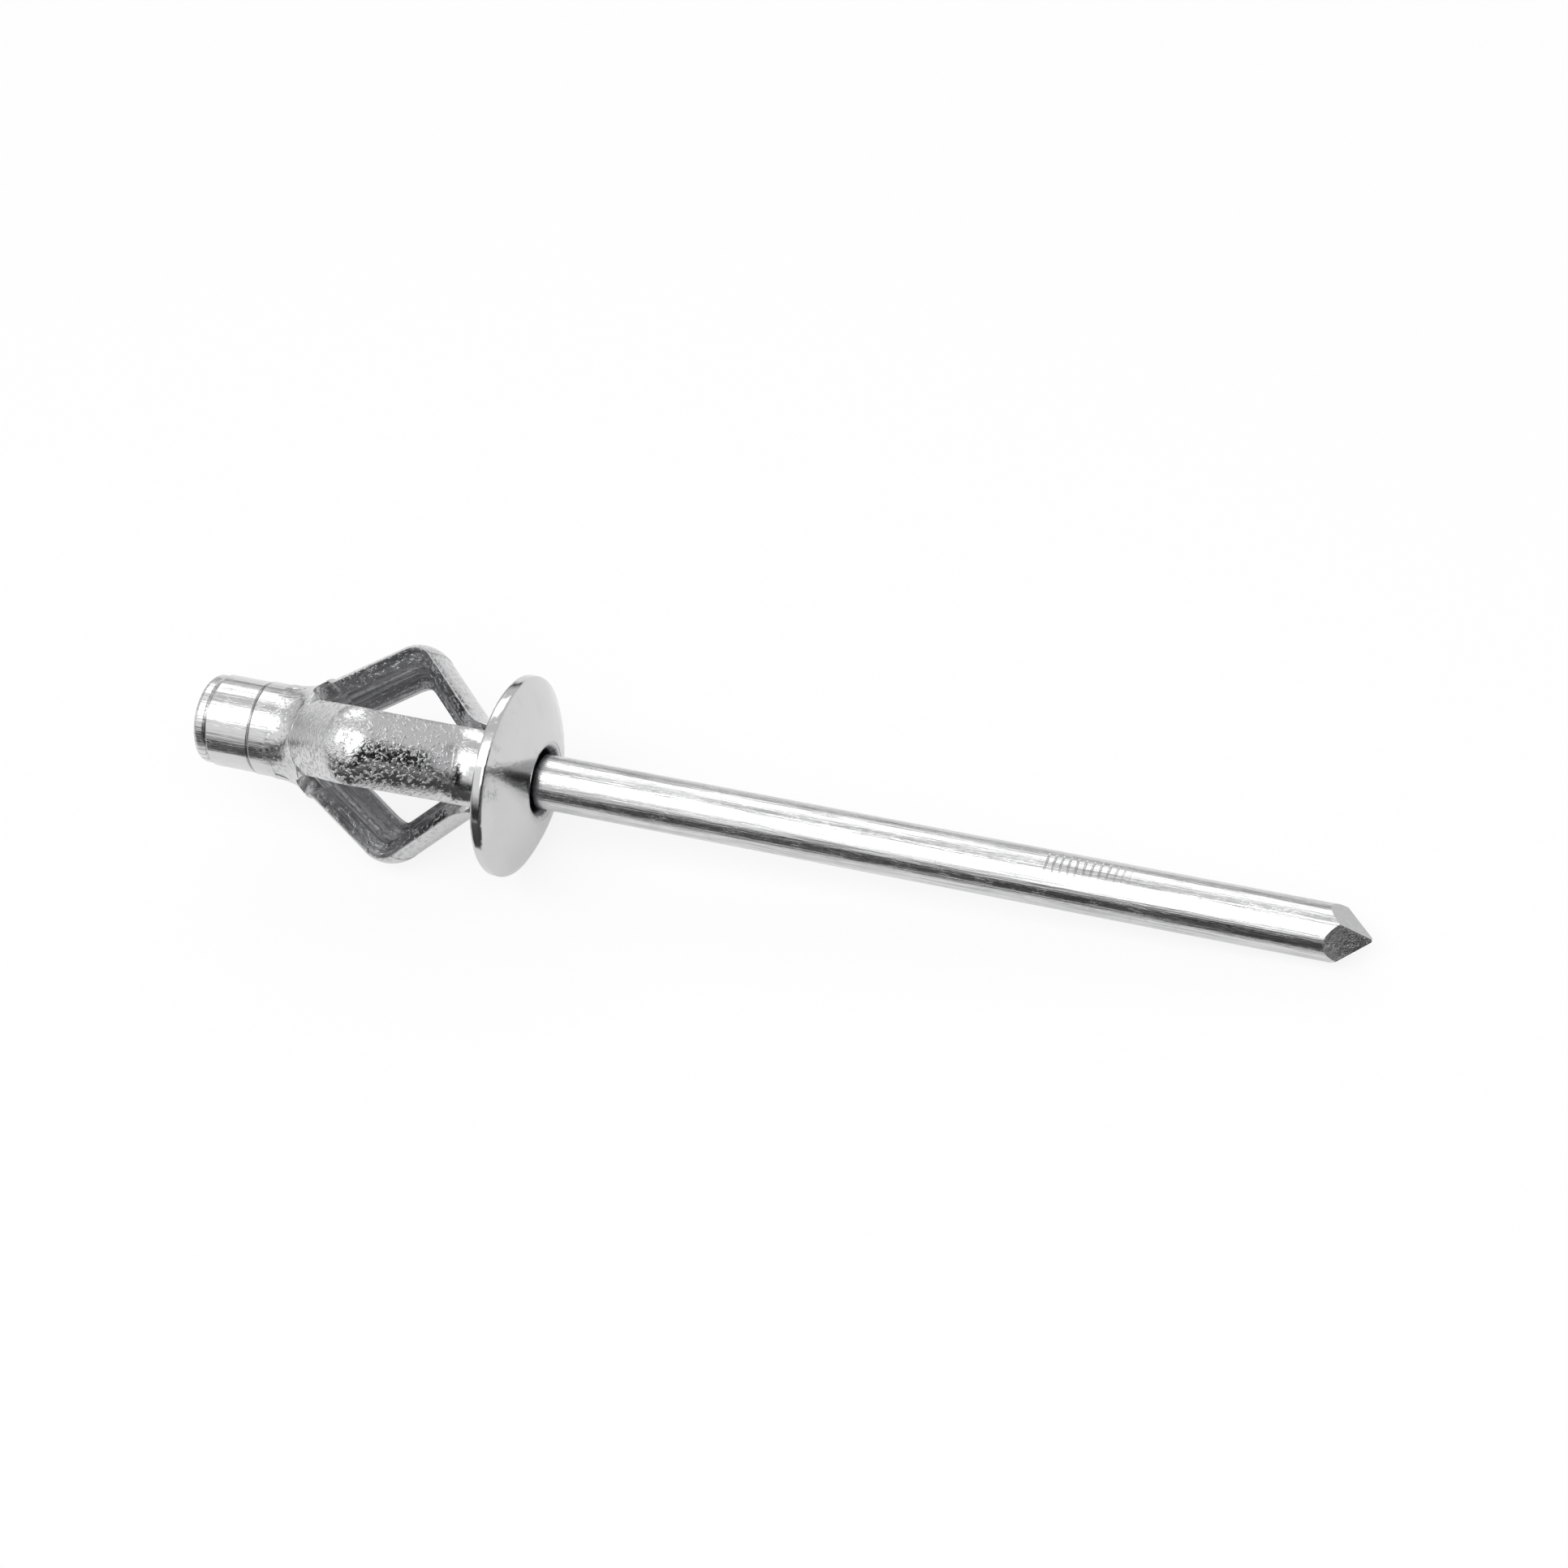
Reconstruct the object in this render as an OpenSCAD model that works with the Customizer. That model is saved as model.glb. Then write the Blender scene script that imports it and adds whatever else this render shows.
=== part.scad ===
// Tri-fold blind rivet, already set, with its mandrel still in place.
// Each sub-part is drawn upright on the rivet's axis: the head's bearing face is at height 0,
// the stem rises above it and the folded legs and the tail hang below it.
// lie_down() then lays the rivet on the floor, as it comes to rest.

/* [Head] */
// Diameter of the head
head_d = 10; // [8.6:0.1:14]
// Thickness of the head's rim
rim_t = 0.65; // [0.5:0.05:1.2]
// Rounding of the rim's edges
rim_round = 0.2; // [0.05:0.01:0.24]
// Height of the dome above the rim
dome_h = 1.4; // [1:0.05:2.2]
// Rounding of the hole's mouth
mouth_round = 0.5; // [0.2:0.05:0.7]
// Fillet where the tube meets the head
collar_fillet = 0.3; // [0.1:0.01:0.4]

/* [Tube] */
// Outside diameter of the tube
tube_d = 4.8; // [4.4:0.1:5.6]
// Length of tube between the head and the first bend
neck = 1.7; // [1.4:0.1:6]
// Length of tube between the last bend and the tail's end
tail = 4.5; // [4.3:0.1:9]
// Bevel at the tail's end
end_bevel = 0.15; // [0.05:0.01:0.3]

/* [Folded legs] */
// Number of legs
leg_count = 3; // [3:1:4]
// Width of the slot between two legs, before they fold
slot_w = 0.6; // [0.4:0.05:1]
// Distance along the axis from the first bend to the last
leg_span = 9.5; // [8.5:0.1:14]
// Angle of each half leg to the axis, in degrees
leg_slope = 42; // [32:1:48]
// Radius at the inner edges of the fold
fold_round = 0.5; // [0.3:0.05:0.8]
// Radius of the bend beside the head
neck_bend = 1.2; // [0.8:0.1:1.6]
// Radius of the bend beside the tail
tail_bend = 1.9; // [1.2:0.1:2.2]
// Radius of the flared web that joins the legs beside the tail
web_bend = 2.6; // [2.3:0.1:3]
// Depth of the web below the tube's faces where it starts
web_sink = 0.05; // [0.03:0.01:0.1]
// Depth of the round crotch cut in the web between two legs
crotch_dip = 0.3; // [0.1:0.05:0.5]

/* [Crimp] */
// Length of the four panels that the crimping jaws press into the tail
crimp_len = 2.5; // [1.5:0.1:2.7]
// Depth of the panels
crimp_depth = 0.1; // [0.05:0.01:0.16]
// Length of the lighter jaw marks beyond the panels
mark_len = 1; // [0.4:0.1:1]
// Depth of the lighter marks
mark_depth = 0.05; // [0.03:0.01:0.08]
// Width of the ridges left between two panels
ridge_w = 0.45; // [0.3:0.05:0.7]
// Turn of the panels from the first leg, in degrees
crimp_turn = -38; // [-45:1:45]

/* [Mandrel] */
// Diameter of the mandrel's stem
stem_d = 2.7; // [2.4:0.05:2.9]
// Clearance round the stem in the tube's bore
stem_clearance = 0.15; // [0.05:0.01:0.2]
// Length of stem from the head's bearing face to the tip
stem_reach = 42.6; // [30:0.1:60]
// Angle of the point's four facets to the axis, in degrees
point_angle = 32.7; // [25:0.1:45]
// Turn of the facets from the first leg, in degrees
point_turn = -5; // [-45:1:45]
// Width of the flat left at the tip
tip_flat = 0.15; // [0.05:0.01:0.4]
// Diameter of the mandrel's own head
cap_d = 4.45; // [4:0.05:5]
// Height of the mandrel's own head
cap_h = 1; // [0.8:0.05:1.4]
// Height of the dome on the mandrel's own head
cap_dome = 0.35; // [0.2:0.01:0.5]
// Rounding of the edge of the mandrel's own head
cap_round = 0.3; // [0.1:0.01:0.4]
// Bevel under the mandrel's own head
cap_bevel = 0.1; // [0.04:0.01:0.2]
// Length of the notch at which the stem breaks
notch_len = 0.7; // [0.6:0.05:1]
// Depth of the notch
notch_depth = 0.2; // [0.1:0.01:0.35]
// Depth of the notch's upper edge below the mouth's lip
notch_sink = 0.06; // [0:0.01:0.1]

/* [Hidden] */
$fn = 72;

head_r = head_d / 2;
tube_r = tube_d / 2;
stem_r = stem_d / 2;
cap_r = cap_d / 2;
bore_r = stem_r + stem_clearance;
wall = tube_r - bore_r;
far = 2 * stem_reach;

// A dome is part of a sphere that touches the rounding of its rim
function sphere_r(r, rise, round) = ((r - round) ^ 2 + rise ^ 2 + 2 * rise * round) / (2 * rise);

// The rounding of the mouth touches the dome and the bore
dome_r = sphere_r(head_r, dome_h, rim_round);
dome_centre = rim_t + dome_h - dome_r;
mouth_core_r = bore_r + mouth_round;
mouth_core = dome_centre + sqrt((dome_r - mouth_round) ^ 2 - mouth_core_r ^ 2);
notch_top = mouth_core + mouth_round - notch_sink;

// A leg is a strip of the tube's wall, so its section is part of a ring with parallel-sided slots beside it
gap_turn = 180 / leg_count;
section_tip = slot_w / 2 / sin(gap_turn);
inner_edge = bore_r * cos(gap_turn - asin(slot_w / 2 / bore_r));

// The outer face of a leg runs down the tube, out along one half, round the crown and back
half_leg = leg_span / 2 / cos(leg_slope);
fold_t = -neck - leg_span / 2;
crown_bend = fold_round + tube_r - inner_edge;
crown_centre = tube_r + leg_span / 2 * tan(leg_slope) - crown_bend / cos(leg_slope);
crown_r = crown_centre + crown_bend;
neck_tangent = neck_bend * tan(leg_slope / 2);
tail_tangent = tail_bend * tan(leg_slope / 2);
crown_tangent = crown_bend * tan(leg_slope);
legs_top = -neck + neck_tangent;
tail_corner = -neck - leg_span;
legs_bottom = tail_corner - tail_tangent;
tail_end = tail_corner - tail;

// The crotch between two legs is as wide as the gap at the end of the web
web_end_out = web_bend * (1 - cos(leg_slope));
web_end_t = legs_bottom + web_bend * sin(leg_slope);
crotch_r = slot_w / 2 + web_end_out * sin(gap_turn);

// Where a bend meets a straight stretch, one of the two is finer by a hair and laps into the other
hair = 0.01;
lap = 0.05;

// The panels of the crimp end where the ridges between them begin
panel_edge = 45 - asin(ridge_w / 2 / tube_r);

// The floor touches the rounding of the rim, the end of the stem and the crown of the first leg
point_start = stem_reach - (stem_r - tip_flat / 2) / tan(point_angle);
rest_run = point_start - (rim_t - rim_round);
rest_rise = head_r - rim_round - stem_r;
tilt = atan2(rest_rise, rest_run) + asin(rim_round / norm([rest_run, rest_rise]));
floor_drop = point_start * sin(tilt) + stem_r * cos(tilt);
crown_drop = (floor_drop - tube_r - fold_t * sin(tilt)) / cos(tilt);
leg_lean = acos(min(1, crown_drop / (crown_r - tube_r)));

// Lays an upright piece on the floor, on the crown of the first leg
module lie_down() {
    rotate([0, 90 + tilt, 0]) rotate([0, 0, -leg_lean]) children();
}

// Repeats a piece for each leg
module each_leg() {
    for (i = [0 : leg_count - 1]) rotate([0, 0, i * 2 * gap_turn]) children();
}

// Repeats a piece for each gap between two legs
module each_gap() {
    each_leg() rotate([0, 0, gap_turn]) children();
}

// Outline of half a disc of radius r and rim thickness t, under a dome that rises further
module domed_disc(r, t, rise, round) {
    ball_r = sphere_r(r, rise, round);
    ball_centre = t + rise - ball_r;
    rim_turn = atan2(t - round - ball_centre, r - round);
    intersection() {
        translate([0, ball_centre]) circle(r = ball_r);
        translate([0, ball_centre]) polygon([[0, 0], [far, far * tan(rim_turn)], [0, far * tan(rim_turn)]]);
        square([r, t + rise]);
    }
    translate([r - round, t - round]) circle(r = round);
    square([r - round, t - round / 2]);
    square([r, t - round]);
}

// Outline of the head, the mouth of its hole, the fillet under it and the neck
module head_outline() {
    difference() {
        union() {
            domed_disc(head_r, rim_t, dome_h, rim_round);
            translate([0, -collar_fillet]) square([tube_r + collar_fillet, 2 * collar_fillet]);
            translate([0, legs_top + hair]) square([tube_r, -legs_top]);
        }
        difference() {
            translate([head_r - rim_round, -rim_round]) square(2 * rim_round);
            translate([head_r - rim_round, rim_round]) circle(r = rim_round);
        }
        translate([tube_r + collar_fillet, -collar_fillet]) circle(r = collar_fillet);
        translate([0, mouth_core]) square([mouth_core_r, far]);
        translate([0, -far]) square([bore_r, 2 * far]);
    }
    translate([mouth_core_r, mouth_core]) circle(r = mouth_round);
}

// Head and neck, with the round ends of the slots
module head_and_neck() {
    difference() {
        rotate_extrude() head_outline();
        each_gap() translate([0, 0, legs_top]) rotate([0, 90, 0]) cylinder(d = slot_w, h = head_r);
    }
}

// Section of a leg, with the tube's axis at the origin
module leg_section(inset = 0) {
    side = [tube_d * cos(gap_turn), tube_d * sin(gap_turn)];
    intersection() {
        difference() {
            circle(r = tube_r - inset);
            circle(r = bore_r + inset);
        }
        translate([section_tip + inset / sin(gap_turn), 0])
            polygon([[0, 0], side, [tube_d, 0], [side[0], -side[1]]]);
    }
}

// Straight half of a leg, from skip beyond the corner at the origin down and out to the crown
module leg_half(skip) {
    run = half_leg - skip - crown_tangent;
    rotate([0, -leg_slope, 0]) translate([-tube_r, 0, -skip - run - lap])
        linear_extrude(run + 2 * lap) leg_section(hair);
}

// Sweeps a section round an axis that crosses the rivet's, from start through turn degrees
module leg_bend(centre_r, centre_t, start, turn) {
    translate([centre_r, 0, centre_t]) rotate([90, 0, 0]) rotate([0, 0, start])
        rotate_extrude(angle = turn) children();
}

// Short upright piece of a leg that ties its root to the tube
module leg_root(t) {
    translate([0, 0, t - lap]) linear_extrude(2 * lap) leg_section(hair);
}

// One leg: bent out beside the head, folded at the crown and bent back beside the tail
module leg() {
    leg_root(legs_top);
    leg_bend(tube_r + neck_bend, legs_top, 180, leg_slope)
        translate([tube_r + neck_bend, 0]) mirror([1, 0]) leg_section();
    translate([tube_r, 0, -neck]) leg_half(neck_tangent);
    leg_bend(crown_centre, fold_t, -leg_slope, 2 * leg_slope)
        translate([crown_bend - tube_r, 0]) leg_section();
    translate([tube_r, 0, tail_corner]) mirror([0, 0, 1]) leg_half(tail_tangent);
    leg_bend(tube_r + tail_bend, legs_bottom, 180 - leg_slope, leg_slope)
        translate([tube_r + tail_bend, 0]) mirror([1, 0]) leg_section();
    leg_root(legs_bottom);
}

// Outline of the flared web, from inside the tail's wall up between the legs
module web_outline() {
    translate([tube_r + web_bend, legs_bottom]) intersection() {
        difference() {
            circle(r = web_bend + wall - web_sink);
            circle(r = web_bend + web_sink);
        }
        polygon([[0, 0], [0, -lap], [-far, -lap], [-far, far * tan(leg_slope)]]);
    }
}

// Web that joins the legs beside the tail, with a round crotch in each gap
module web() {
    difference() {
        rotate_extrude() web_outline();
        each_gap() translate([0, 0, web_end_t - crotch_dip + crotch_r])
            rotate([0, 90, 0]) cylinder(r = crotch_r, h = head_r);
    }
}

// Section of the tail where the jaws have pressed it: four flat arcs with ridges between them
module crimped_section(depth) {
    panel = tube_r - depth;
    arc_shift = (tube_r ^ 2 - panel ^ 2) / (2 * (panel - tube_r * cos(panel_edge)));
    difference() {
        intersection() {
            circle(r = tube_r);
            intersection_for(turn = [0 : 90 : 270]) rotate(turn) translate([-arc_shift, 0])
                circle(r = arc_shift + panel);
        }
        circle(r = bore_r);
    }
}

// Tail of the tube: the pressed panels, the lighter jaw marks and a plain stretch up to the legs
module tail_tube() {
    plain = legs_bottom - hair - tail_end - crimp_len - mark_len;
    end_r = tube_r - crimp_depth - end_bevel;
    translate([0, 0, tail_end]) {
        intersection() {
            rotate([0, 0, crimp_turn]) linear_extrude(crimp_len) crimped_section(crimp_depth);
            cylinder(r1 = end_r, r2 = end_r + far, h = far);
        }
        translate([0, 0, crimp_len]) rotate([0, 0, crimp_turn]) linear_extrude(mark_len)
            crimped_section(mark_depth);
        translate([0, 0, crimp_len + mark_len]) difference() {
            cylinder(r = tube_r, h = plain);
            cylinder(r = bore_r, h = far, center = true);
        }
    }
}

// The rivet's body: head, neck, folded legs and tail, made of one tube
module rivet_body() {
    color("silver") lie_down() {
        head_and_neck();
        each_leg() leg();
        web();
        tail_tube();
    }
}

// Outline of the mandrel: its own head against the tail's end, then the notched stem
module mandrel_outline() {
    notch_middle = notch_top - notch_len / 2;
    difference() {
        translate([0, tail_end]) mirror([0, 1]) domed_disc(cap_r, cap_h - cap_dome, cap_dome, cap_round);
        translate([cap_r, tail_end]) rotate(45) square(cap_bevel * sqrt(2), center = true);
    }
    difference() {
        translate([0, tail_end - cap_bevel]) square([stem_r, stem_reach - tail_end + cap_bevel]);
        polygon([[stem_r, notch_top], [stem_r - notch_depth, notch_middle], [stem_r, notch_top - notch_len]]);
    }
}

// Wedge as wide as the tube, with two sloping faces that end in a narrow flat at the tip
module point_wedge() {
    shoulder = stem_reach - (tube_r - tip_flat / 2) / tan(point_angle);
    rotate([90, 0, 0]) linear_extrude(tube_d, center = true) polygon([
        [-tube_r, tail_end - far],
        [tube_r, tail_end - far],
        [tube_r, shoulder],
        [tip_flat / 2, stem_reach],
        [-tip_flat / 2, stem_reach],
        [-tube_r, shoulder]
    ]);
}

// Mandrel, with the four facets left by the cut that points it
module mandrel() {
    color("gainsboro") lie_down() intersection() {
        rotate_extrude() mandrel_outline();
        rotate([0, 0, point_turn]) point_wedge();
        rotate([0, 0, point_turn + 90]) point_wedge();
    }
}

rivet_body();
mandrel();
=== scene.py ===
from math import cos, radians, sin
import bpy
from mathutils import Matrix, Vector

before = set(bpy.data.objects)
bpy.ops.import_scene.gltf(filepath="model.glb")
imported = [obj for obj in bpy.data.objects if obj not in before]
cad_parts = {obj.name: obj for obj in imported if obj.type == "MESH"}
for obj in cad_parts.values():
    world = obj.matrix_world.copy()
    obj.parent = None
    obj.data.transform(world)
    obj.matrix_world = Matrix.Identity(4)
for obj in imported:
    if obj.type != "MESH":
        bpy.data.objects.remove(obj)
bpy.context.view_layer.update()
MM = 0.001

# The rivet as a whole lies on its side with its axis sloping down towards the point of the stem.
# One group of nodes reads where a spot of metal sits on the rivet: how far along the axis, how far
# out from it and which way round, so that marks follow the drawing and folding of the metal.
rivet_slope = radians(5.193797)
rivet_axis = Vector((cos(rivet_slope), 0, -sin(rivet_slope)))
rivet_up = Vector((sin(rivet_slope), 0, cos(rivet_slope)))
rivet_side = Vector((0, 1, 0))


def put(tree, kind, **values):
    """Adds one node. A value is a number, a colour, an output to link, or a setting of the node."""
    node = tree.nodes.new("ShaderNode" + kind)
    for key, value in values.items():
        slot = int(key[2:]) if key.startswith("in") and key[2:].isdigit() else key.replace("_", " ")
        if not isinstance(slot, int) and slot not in node.inputs:
            setattr(node, key, value)
        elif isinstance(value, bpy.types.NodeSocket):
            tree.links.new(value, node.inputs[slot])
        else:
            node.inputs[slot].default_value = value
    return node


def effect(name, takes, gives):
    """Starts an empty group of nodes with named inputs and outputs."""
    group = bpy.data.node_groups.new(name, "ShaderNodeTree")
    for label, kind, value in takes:
        socket = group.interface.new_socket(name=label, in_out="INPUT", socket_type="NodeSocket" + kind)
        if value is not None:
            socket.default_value = value
    for label, kind in gives:
        group.interface.new_socket(name=label, in_out="OUTPUT", socket_type="NodeSocket" + kind)
    return group, group.nodes.new("NodeGroupInput").outputs, group.nodes.new("NodeGroupOutput").inputs


def use(tree, group, **values):
    """Places a group in a material with its own values."""
    node = tree.nodes.new("ShaderNodeGroup")
    node.node_tree = group
    for key, value in values.items():
        socket = node.inputs[key.replace("_", " ")]
        if isinstance(value, bpy.types.NodeSocket):
            tree.links.new(value, socket)
        else:
            socket.default_value = value
    return node.outputs


def ramp(tree, value, low, high, start=0.0, end=1.0):
    """Eases from start to end as value goes from low to high."""
    return put(tree, "MapRange", interpolation_type="SMOOTHSTEP", in0=value, in1=low, in2=high,
               in3=start, in4=end).outputs[0]


def reckon(tree, a, b, way="ADD"):
    """Does one step of arithmetic on two values, which may change over the surface."""
    return put(tree, "Math", operation=way, in0=a, in1=b).outputs[0]


def add_shares(tree, total, *shares):
    """Adds a share of each value to a total. Each share is a value and how much of it counts."""
    for value, much in shares:
        total = reckon(tree, total, reckon(tree, value, much, "MULTIPLY"))
    return total


place_on_rivet, _, out = effect("place_on_rivet", [], [
    ("Place", "Vector"), ("Along", "Float"), ("Out", "Float"), ("Faces Out", "Float"),
    ("Faces Along", "Float"), ("Off Leg", "Float")])
spot = put(place_on_rivet, "TexCoord").outputs
spot_mm = put(place_on_rivet, "VectorMath", operation="SCALE", in0=spot["Object"], Scale=1000.0).outputs[0]


def measure(direction, of):
    return put(place_on_rivet, "VectorMath", operation="DOT_PRODUCT", in0=of, in1=direction).outputs["Value"]


along, aside, above = (measure(d, spot_mm) for d in (rivet_axis, rivet_side, rivet_up))
across = put(place_on_rivet, "CombineXYZ", X=0.0, Y=aside, Z=above).outputs[0]
faces_side, faces_up = measure(rivet_side, spot["Normal"]), measure(rivet_up, spot["Normal"])
faces = put(place_on_rivet, "CombineXYZ", X=0.0, Y=faces_side, Z=faces_up).outputs[0]
outward = put(place_on_rivet, "VectorMath", operation="NORMALIZE", in0=across).outputs[0]
place = put(place_on_rivet, "CombineXYZ", X=along, Y=aside, Z=above).outputs[0]
place_on_rivet.links.new(place, out["Place"])
place_on_rivet.links.new(along, out["Along"])
how_far = put(place_on_rivet, "VectorMath", operation="LENGTH", in0=across).outputs["Value"]
place_on_rivet.links.new(how_far, out["Out"])
# Legs stand at even turns round the axis. Off Leg tells how far a spot is to the side of its own leg.
leg_turn, first_leg = radians(120), radians(27.2)
round_axis = reckon(place_on_rivet, aside, reckon(place_on_rivet, above, -1.0, "MULTIPLY"), "ARCTAN2")
past_first_gap = reckon(place_on_rivet, round_axis, first_leg + leg_turn / 2)
past_gap = reckon(place_on_rivet, past_first_gap, leg_turn, "FLOORED_MODULO")
off_leg = reckon(place_on_rivet, reckon(place_on_rivet, past_gap, -leg_turn / 2), 0.0, "SINE")
place_on_rivet.links.new(reckon(place_on_rivet, off_leg, how_far, "MULTIPLY"), out["Off Leg"])
place_on_rivet.links.new(put(place_on_rivet, "VectorMath", operation="DOT_PRODUCT", in0=faces, in1=outward)
                         .outputs["Value"], out["Faces Out"])
place_on_rivet.links.new(measure(rivet_axis, spot["Normal"]), out["Faces Along"])

# Fine lines that drawing leaves along the metal: noise stretched many times along the axis
drawn_lines, given, out = effect("drawn_lines", [
    ("Place", "Vector", None), ("Stretch", "Float", 0.04), ("Fineness", "Float", 6.0)], [("Lines", "Float")])
stretch = put(drawn_lines, "CombineXYZ", X=given["Stretch"], Y=1.0, Z=1.0).outputs[0]
pulled = put(drawn_lines, "VectorMath", operation="MULTIPLY", in0=given["Place"], in1=stretch).outputs[0]
grain = put(drawn_lines, "TexNoise", Vector=pulled, Scale=given["Fineness"], Detail=5.0, Roughness=0.65)
drawn_lines.links.new(grain.outputs["Fac"], out["Lines"])

# Scuffs from lying loose in a box: short scratches in two directions and dull patches
handled, given, out = effect("handled", [
    ("Place", "Vector", None), ("Amount", "Float", 1.0)], [("Scuffs", "Float"), ("Patches", "Float")])
scuffs = []
for slant, size in ((0.6, 1.7), (-0.9, 2.3)):
    turned = put(handled, "VectorRotate", rotation_type="X_AXIS", Vector=given["Place"],
                 Angle=slant).outputs[0]
    narrow = (2.6 * size, 0.5 * size, 3.1 * size)
    thin = put(handled, "VectorMath", operation="MULTIPLY", in0=turned, in1=narrow).outputs[0]
    cells = put(handled, "TexVoronoi", feature="DISTANCE_TO_EDGE", Vector=thin, Scale=1.0, Randomness=1.0)
    scuffs.append(ramp(handled, cells.outputs["Distance"], 0.0, 0.03, 1.0, 0.0))
both = reckon(handled, scuffs[0], scuffs[1], "MAXIMUM")
broken = put(handled, "TexNoise", Vector=given["Place"], Scale=1.1, Detail=3.0).outputs["Fac"]
shown = reckon(handled, both, ramp(handled, broken, 0.5, 0.68), "MULTIPLY")
handled.links.new(reckon(handled, shown, given["Amount"], "MULTIPLY"), out["Scuffs"])
cloudy = put(handled, "TexNoise", Vector=given["Place"], Scale=0.45, Detail=4.0, Roughness=0.6)
handled.links.new(ramp(handled, cloudy.outputs["Fac"], 0.4, 0.7), out["Patches"])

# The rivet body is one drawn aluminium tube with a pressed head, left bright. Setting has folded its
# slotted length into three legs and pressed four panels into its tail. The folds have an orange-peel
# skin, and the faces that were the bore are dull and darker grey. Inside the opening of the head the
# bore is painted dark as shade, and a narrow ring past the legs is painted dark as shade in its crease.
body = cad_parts["rivet_body"]
body_metal = bpy.data.materials.new("bright_body")
body_metal.use_nodes = True
tree = body_metal.node_tree
skin = tree.nodes["Principled BSDF"]
on = use(tree, place_on_rivet)
lines = use(tree, drawn_lines, Place=on["Place"], Stretch=0.12, Fineness=5.0)["Lines"]
long_lines = use(tree, drawn_lines, Place=on["Place"], Stretch=0.03, Fineness=4.0)["Lines"]
marks = use(tree, handled, Place=on["Place"], Amount=0.6)
bore_side = ramp(tree, on["Faces Out"], -0.15, -0.45)
legs_start, legs_end = -1.3, -13.0
past_neck = ramp(tree, on["Along"], legs_start, legs_start - 0.9)
before_tail = ramp(tree, on["Along"], legs_end, legs_end + 1.6)
folded = reckon(tree, ramp(tree, on["Out"], 2.5, 4.2, 0.35, 1.0), past_neck, "MULTIPLY")
folded = reckon(tree, folded, before_tail, "MULTIPLY")
peel = put(tree, "TexNoise", Vector=on["Place"], Scale=3.2, Detail=4.0, Roughness=0.6).outputs["Fac"]
fine_peel = put(tree, "TexNoise", Vector=on["Place"], Scale=5.0, Detail=3.0, Roughness=0.6).outputs["Fac"]
tail_part = ramp(tree, on["Along"], -10.4, -11.6)
down_leg = put(tree, "CombineXYZ", X=reckon(tree, on["Off Leg"], 2.2, "MULTIPLY"),
               Y=reckon(tree, on["Along"], 0.12, "MULTIPLY"),
               Z=reckon(tree, on["Faces Along"], 0.3, "MULTIPLY")).outputs[0]
# The faces that were the bore, facing in towards the axis, are given a darker grey with lengthwise streaks.
bore_lines = put(tree, "TexNoise", Vector=down_leg, Scale=1.6, Detail=4.0, Roughness=0.7).outputs["Fac"]
bore_side_grey = put(tree, "MixRGB", in0=ramp(tree, bore_lines, 0.38, 0.6), in1=(0.24, 0.24, 0.25, 1),
           in2=(0.52, 0.52, 0.53, 1)).outputs[0]
grey = put(tree, "MixRGB", in1=(0.64, 0.64, 0.645, 1), in2=bore_side_grey, in0=bore_side).outputs[0]
# A narrow ring just past the end of the legs is bumped in as a shallow groove and painted dark, as painted
# shade in that crease. The tail also gets darker lengthwise streaks from the drawn lines.
ring_place, ring_width = -13.22, 0.2
from_ring = reckon(tree, reckon(tree, on["Along"], -ring_place), 0.0, "ABSOLUTE")
ring = ramp(tree, from_ring, ring_width / 2, ring_width / 4)
streaks_and_ring_shade = reckon(tree, reckon(tree, tail_part, ramp(tree, long_lines, 0.43, 0.36), "MULTIPLY"), 0.45, "MULTIPLY")
streaks_and_ring_shade = reckon(tree, streaks_and_ring_shade, reckon(tree, ring, 0.8, "MULTIPLY"), "MAXIMUM")
grey = put(tree, "MixRGB", blend_type="MULTIPLY", in0=streaks_and_ring_shade, in1=grey, in2=(0.3, 0.3, 0.31, 1)).outputs[0]
soiled = put(tree, "MixRGB", blend_type="MULTIPLY", in0=reckon(tree, marks["Patches"], 0.12, "MULTIPLY"),
             in1=grey, in2=(0.72, 0.72, 0.73, 1)).outputs[0]
# Painted shade: the bore just inside the opening of the head is darkened, as shade deep in the hole.
mouth_shade = reckon(tree, ramp(tree, on["Out"], 1.8, 1.7), ramp(tree, on["Along"], -3.0, -2.0), "MULTIPLY")
dark = put(tree, "MixRGB", blend_type="MULTIPLY", in0=mouth_shade, in1=soiled, in2=(0.25, 0.25, 0.26, 1)).outputs[0]
tree.links.new(dark, skin.inputs["Base Color"])
skin.inputs["Metallic"].default_value = 1.0
rough = add_shares(tree, 0.04, (lines, 0.16), (folded, 0.02), (bore_side, 0.22), (marks["Scuffs"], 0.15))
tree.links.new(rough, skin.inputs["Roughness"])
height = add_shares(
    tree, 0.0, (peel, reckon(tree, folded, 0.03, "MULTIPLY")),
    (ramp(tree, fine_peel, 0.52, 0.7), reckon(tree, folded, 0.035, "MULTIPLY")),
    (long_lines, reckon(tree, tail_part, 0.02, "MULTIPLY")),
    (fine_peel, 0.0035), (ring, -0.03), (marks["Scuffs"], -0.004))
soft_edge = put(tree, "Bevel", samples=4, Radius=0.1 * MM).outputs[0]
tree.links.new(put(tree, "Bump", Strength=1.0, Distance=MM, Height=height, Normal=soft_edge).outputs[0],
               skin.inputs["Normal"])
body.data.materials.clear()
body.data.materials.append(body_metal)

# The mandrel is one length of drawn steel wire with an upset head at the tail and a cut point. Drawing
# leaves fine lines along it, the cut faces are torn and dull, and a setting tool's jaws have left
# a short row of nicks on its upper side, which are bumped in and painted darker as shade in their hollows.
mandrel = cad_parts["mandrel"]
wire_metal = bpy.data.materials.new("drawn_wire")
wire_metal.use_nodes = True
tree = wire_metal.node_tree
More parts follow.
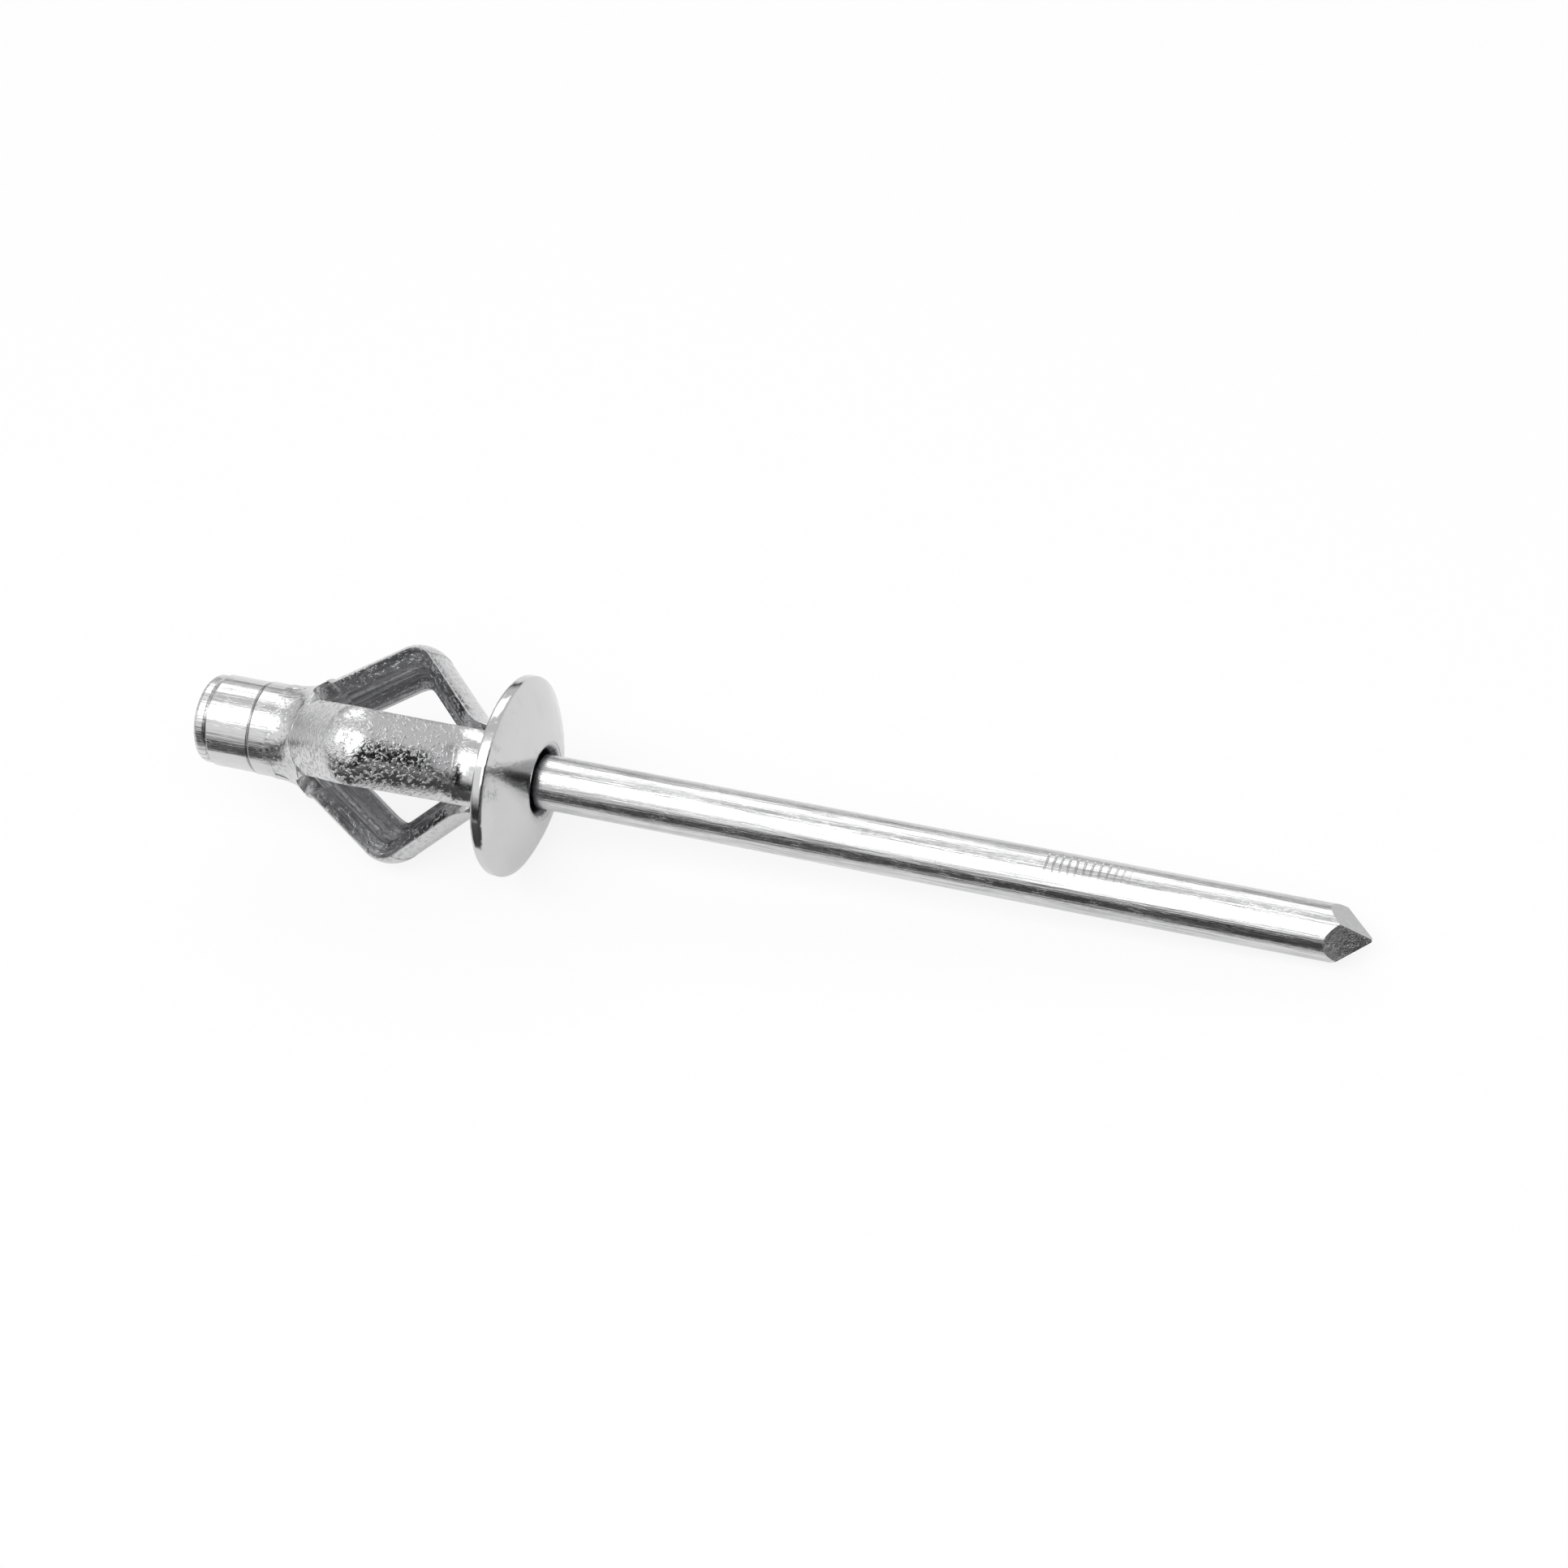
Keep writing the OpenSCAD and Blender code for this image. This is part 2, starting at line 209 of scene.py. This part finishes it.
skin = tree.nodes["Principled BSDF"]
on = use(tree, place_on_rivet)
lines = use(tree, drawn_lines, Place=on["Place"], Stretch=0.03, Fineness=7.0)["Lines"]
marks = use(tree, handled, Place=on["Place"], Amount=0.8)
# The nicks are placed by how far they are turned from the side that faces the camera. Square to the
# axis, the camera is this far up for this far to the near side.
eye_up, eye_near = 0.8406, 0.5417
square_on = put(tree, "SeparateXYZ", Vector=on["Place"]).outputs
nick_back = add_shares(tree, 0.0, (square_on["Z"], eye_near), (square_on["Y"], eye_up))
nick_front = add_shares(tree, 0.0, (square_on["Z"], eye_up), (square_on["Y"], -eye_near))
nick_turn = reckon(tree, nick_back, nick_front, "ARCTAN2")
wander = put(tree, "TexNoise", Vector=on["Place"], Scale=0.9, Detail=3.0).outputs["Fac"]
nick_run = reckon(tree, reckon(tree, on["Along"], 17.0, "MULTIPLY"), reckon(tree, wander, 3.5, "MULTIPLY"))
teeth = ramp(tree, reckon(tree, nick_run, 0.0, "SINE"), 0.55, 0.95)
in_row = reckon(tree, ramp(tree, on["Along"], 27.0, 27.4), ramp(tree, on["Along"], 32.0, 29.8), "MULTIPLY")
on_top = reckon(tree, ramp(tree, nick_turn, 0.2, 0.5), ramp(tree, nick_turn, 1.1, 0.9), "MULTIPLY")
nicks = reckon(tree, teeth, reckon(tree, in_row, on_top, "MULTIPLY"), "MULTIPLY")
point_start = 40.3
in_point = ramp(tree, on["Along"], point_start, point_start + 0.2)
cut_face = reckon(tree, in_point, ramp(tree, on["Faces Along"], 0.25, 0.4), "MULTIPLY")
torn = put(tree, "TexNoise", Vector=on["Place"], Scale=2.6, Detail=6.0, Roughness=0.7).outputs["Fac"]
streaks = ramp(tree, lines, 0.36, 0.56)
streaks = reckon(tree, streaks, ramp(tree, on["Faces Along"], -0.3, -0.7, 0.0, 0.7), "MAXIMUM")
drawn = put(tree, "MixRGB", in0=streaks, in1=(0.50, 0.50, 0.505, 1), in2=(0.72, 0.72, 0.725, 1)).outputs[0]
grey = put(tree, "MixRGB", in0=cut_face, in1=drawn, in2=(0.62, 0.62, 0.625, 1)).outputs[0]
soiled = put(tree, "MixRGB", blend_type="MULTIPLY", in0=reckon(tree, marks["Patches"], 0.1, "MULTIPLY"),
             in1=grey, in2=(0.7, 0.7, 0.72, 1)).outputs[0]
# Painted shade: the nicks are darkened as if shade lay in their hollows.
nick_shaded = put(tree, "MixRGB", blend_type="MULTIPLY", in0=reckon(tree, nicks, 0.5, "MULTIPLY"),
             in1=soiled, in2=(0.4, 0.4, 0.41, 1)).outputs[0]
tree.links.new(nick_shaded, skin.inputs["Base Color"])
skin.inputs["Metallic"].default_value = 1.0
rough = add_shares(tree, 0.06, (lines, 0.2), (cut_face, 0.05), (marks["Scuffs"], 0.12))
tree.links.new(rough, skin.inputs["Roughness"])
height = add_shares(tree, 0.0, (lines, 0.022), (nicks, -0.035),
                    (torn, reckon(tree, cut_face, 0.12, "MULTIPLY")), (marks["Scuffs"], -0.004))
soft_edge = put(tree, "Bevel", samples=4, Radius=0.05 * MM).outputs[0]
tree.links.new(put(tree, "Bump", Strength=1.0, Distance=MM, Height=height, Normal=soft_edge).outputs[0],
               skin.inputs["Normal"])
mandrel.data.materials.clear()
mandrel.data.materials.append(wire_metal)

# The floor is a plain white paper sheet that the rivet rests on, laid flat and larger than the
# picture. It shows white to the eye, pale in the metal, and keeps a faint shadow.
floor_height = -5.021028 * MM
bpy.ops.mesh.primitive_plane_add(size=3.0, location=(0, 0, floor_height))
floor = bpy.context.object
floor.name = "floor_sheet"
sheet = bpy.data.materials.new("white_sheet")
sheet.use_nodes = True
tree = sheet.node_tree
tree.nodes.clear()
ray = put(tree, "LightPath").outputs
mirrored = reckon(tree, ray["Is Glossy Ray"], ray["Is Transmission Ray"], "MAXIMUM")
to_eye = reckon(tree, ray["Is Camera Ray"], 0.85, "MULTIPLY")
to_metal = reckon(tree, mirrored, 0.35, "MULTIPLY")
whitened = reckon(tree, to_eye, to_metal, "MAXIMUM")
paper = put(tree, "BsdfDiffuse", Color=(0.85, 0.85, 0.85, 1)).outputs[0]
white = put(tree, "Emission", Color=(1, 1, 1, 1), Strength=1.0).outputs[0]
mixed = put(tree, "MixShader", in0=whitened, in1=paper, in2=white).outputs[0]
put(tree, "OutputMaterial", Surface=mixed)
floor.data.materials.append(sheet)

# A dark card lies flat on the sheet at the near side, as a photographer lays one to give bright metal
# its dark edge. It is matt black paper, and only reflections show it.
card_height = -4.9
card_corners = [(-80, -27), (41.5, -3), (42, 0.4), (90, 1.2), (120, -900), (-120, -900)]
card_mesh = bpy.data.meshes.new("dark_card")
card_mesh.from_pydata([Vector((x, y, card_height)) * MM for x, y in card_corners], [],
                      [tuple(range(len(card_corners)))])
card = bpy.data.objects.new("dark_card", card_mesh)
bpy.context.scene.collection.objects.link(card)
card_paper = bpy.data.materials.new("dark_card")
card_paper.use_nodes = True
matt = card_paper.node_tree.nodes["Principled BSDF"]
matt.inputs["Base Color"].default_value = (0.03, 0.03, 0.03, 1)
matt.inputs["Roughness"].default_value = 0.9
card.data.materials.append(card_paper)
card.visible_camera = card.visible_diffuse = card.visible_shadow = False

# The studio is a white cloth tent, hung round the sheet. Metal shows it darker near the horizon and in
# two directions on the side of the stem's point, and nowhere brighter than white. Matt surfaces get an
# even half of white from it, and the eye sees plain white.
world = bpy.data.worlds.new("white_tent")
bpy.context.scene.world = world
world.use_nodes = True
tree = world.node_tree
tree.nodes.clear()
ray = put(tree, "LightPath").outputs
facing = put(tree, "TexCoord").outputs["Generated"]
toward_tent = put(tree, "SeparateXYZ", Vector=facing).outputs
# The arc runs from the near horizon at 0 over the top to the far horizon at pi
arc = reckon(tree, toward_tent["Z"], reckon(tree, toward_tent["Y"], -1.0, "MULTIPLY"), "ARCTAN2")
tent = reckon(tree, ramp(tree, arc, 0.2, 0.6, 0.04, 1.0), ramp(tree, arc, 1.6, 1.8, 1.0, 0.72), "MULTIPLY")
low_back = reckon(tree, tent, ramp(tree, arc, 2.88, 3.08, 1.0, 0.1), "MULTIPLY")
tent = put(tree, "MixRGB", in0=ramp(tree, toward_tent["X"], 0.1, 0.45), in1=low_back, in2=tent).outputs[0]
# Each dark stretch has a direction, the nearness to it where it starts and is full, and its tone
for direction, starts, is_full, tone in (((0.72, -0.60, 0.35), 0.72, 0.88, 0.03),
                                         ((0.985, -0.10, 0.13), 0.94, 0.98, 0.12)):
    nearness = put(tree, "VectorMath", operation="DOT_PRODUCT", in0=facing, in1=direction).outputs["Value"]
    tent = reckon(tree, tent, ramp(tree, nearness, starts, is_full, 1.0, tone), "MULTIPLY")
to_matt = 0.5
glow = put(tree, "MixRGB", in0=ray["Is Glossy Ray"], in1=(to_matt, to_matt, to_matt, 1), in2=tent).outputs[0]
level = put(tree, "MixRGB", in0=ray["Is Camera Ray"], in1=glow, in2=(1, 1, 1, 1)).outputs[0]
put(tree, "OutputWorld", Surface=put(tree, "Background", Color=(1, 1, 1, 1), Strength=level).outputs[0])

# Three softboxes, broad lamps behind white cloth, hang in the tent above, behind and in front of the
# rivet. Each is aimed at its middle, and all of them show in the metal.
rivet_middle = Vector((12, 0, 0)) * MM


def softbox(name, place, size, power):
    lamp = bpy.data.lights.new(name, "AREA")
    lamp.shape, lamp.size, lamp.size_y, lamp.energy = "RECTANGLE", size[0] * MM, size[1] * MM, power
    box = bpy.data.objects.new(name, lamp)
    box.location = Vector(place) * MM
    box.rotation_euler = (rivet_middle - box.location).to_track_quat("-Z", "Y").to_euler()
    bpy.context.scene.collection.objects.link(box)


softbox("top_softbox", (10, -70, 250), (420, 110), 0.45)
softbox("back_softbox", (-60, 200, 200), (260, 120), 0.16)
softbox("near_softbox", (60, -180, 230), (160, 120), 0.12)

# The camera stands where the photograph was taken, above and in front of the rivet, with an 80 mm
# lens. Lengths are in millimetres from the centre of the head's bearing face.
turn_in_picture, lean_to_head, distance = radians(10.68), radians(16.95), 170.8
head_right, head_down = -13.366, -0.449
toward = rivet_up * eye_up - rivet_side * eye_near
below = -rivet_up * eye_near - rivet_side * eye_up
ca, sa, cb, sb = cos(turn_in_picture), sin(turn_in_picture), cos(lean_to_head), sin(lean_to_head)
right = rivet_axis * ca * cb - toward * ca * sb - below * sa
down = rivet_axis * sa * cb - toward * sa * sb + below * ca
ahead = -rivet_axis * sb - toward * cb
eye = -(right * head_right + down * head_down + ahead * distance) * MM
lens = bpy.data.cameras.new("camera")
lens.lens, lens.sensor_width, lens.clip_start, lens.clip_end = 80.12, 36.0, 0.002, 20.0
camera = bpy.data.objects.new("camera", lens)
camera.matrix_world = Matrix.Translation(eye) @ Matrix((right, -down, -ahead)).transposed().to_4x4()
bpy.context.scene.collection.objects.link(camera)
bpy.context.scene.camera = camera
bpy.context.scene.view_settings.view_transform = "Standard"
